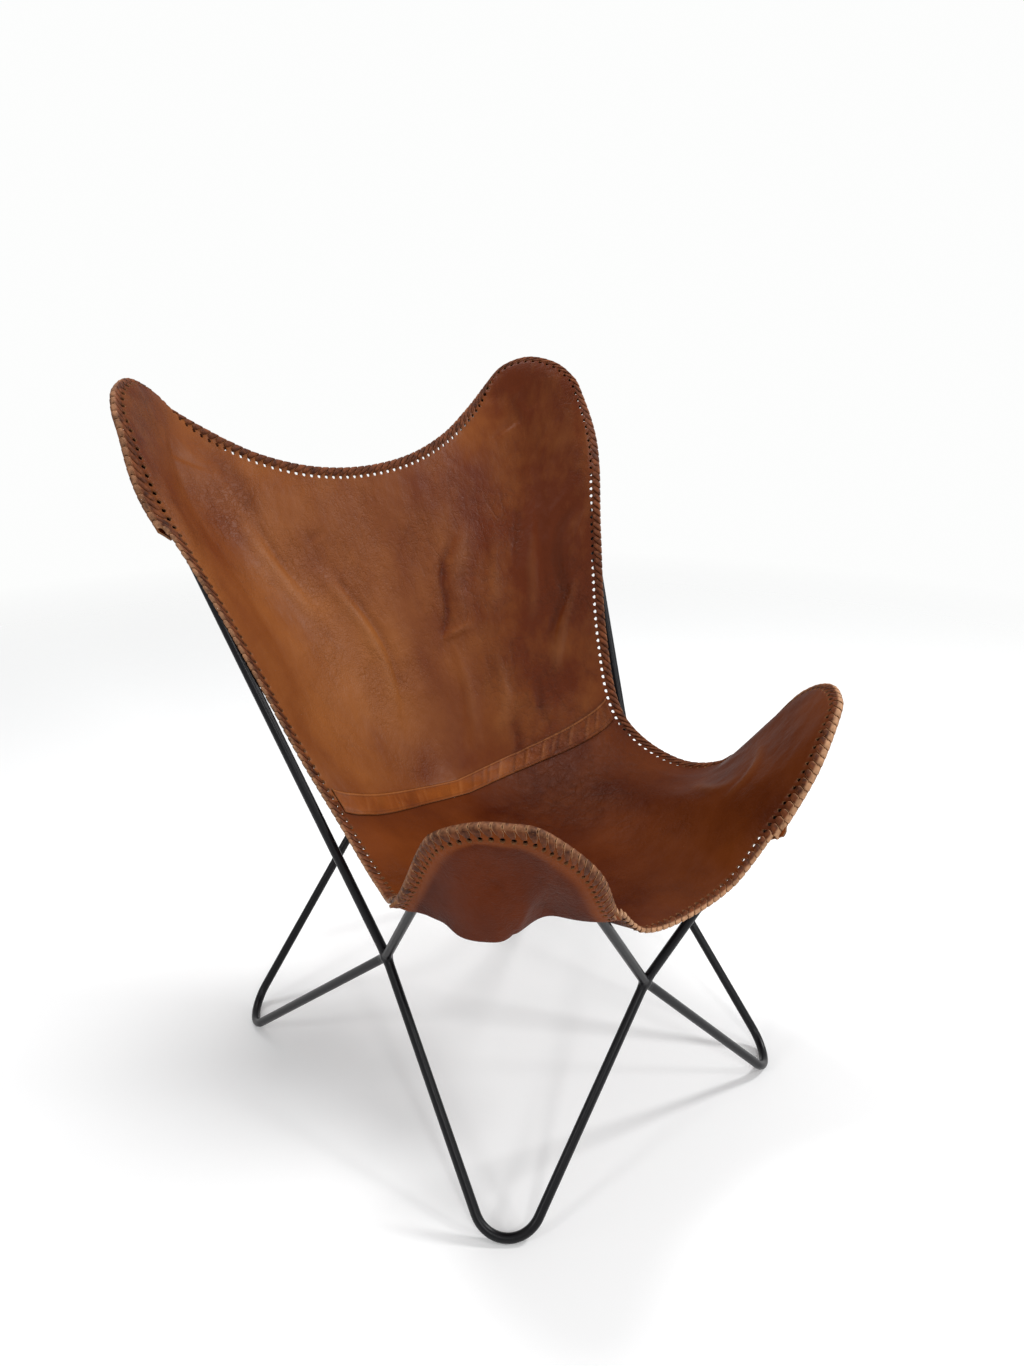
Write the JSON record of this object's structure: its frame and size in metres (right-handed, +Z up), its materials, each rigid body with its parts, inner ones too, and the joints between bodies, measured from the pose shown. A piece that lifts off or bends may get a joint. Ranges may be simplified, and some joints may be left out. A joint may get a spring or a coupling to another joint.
{
  "type": "butterfly sling chair",
  "caption": "Low butterfly lounge chair: a laced leather sling with corner pockets slipped over the hoops of a welded black rod frame.",
  "frame": {"origin": "on the floor under the middle of the whole chair", "axes": "+Z up, the sitter faces -Y, +X is to the right seen from the front, the chair is mirrored about x = 0"},
  "size_m": [0.7374, 0.721, 0.9193],
  "materials": {
    "frame_paint": "satin black paint on steel rod",
    "back_leather": "waxed pull-up leather, mid brown with lighter stretch marks",
    "seat_leather": "waxed leather, darker red brown, satin sheen",
    "band_leather": "soft tan strip, stitched along both edges",
    "pocket_leather": "matt reddish brown leather",
    "lacing_leather": "narrow leather lace whipped through punched holes"
  },
  "bodies": {
    "root": {"hoop_back_left": "frame_paint", "hoop_back_right": "frame_paint", "hoop_front_left": "frame_paint", "hoop_front_right": "frame_paint", "foot_hoop_back_left": "frame_paint", "foot_hoop_back_right": "frame_paint", "foot_hoop_front_left": "frame_paint", "foot_hoop_front_right": "frame_paint", "weld_side_left": "frame_paint", "weld_side_right": "frame_paint", "weld_front": "frame_paint", "weld_back": "frame_paint", "back_panel": "back_leather", "seat_panel": "seat_leather", "seam_band": "band_leather", "pocket_back_left": "pocket_leather", "pocket_back_right": "pocket_leather", "pocket_front_left": "pocket_leather", "pocket_front_right": "pocket_leather", "lacing_top": "lacing_leather", "lacing_front": "lacing_leather", "lacing_side_left": "lacing_leather", "lacing_side_right": "lacing_leather", "lacing_ear_back_left": "lacing_leather", "lacing_ear_back_right": "lacing_leather", "lacing_ear_front_left": "lacing_leather", "lacing_ear_front_right": "lacing_leather"}
  },
  "joints": []
}
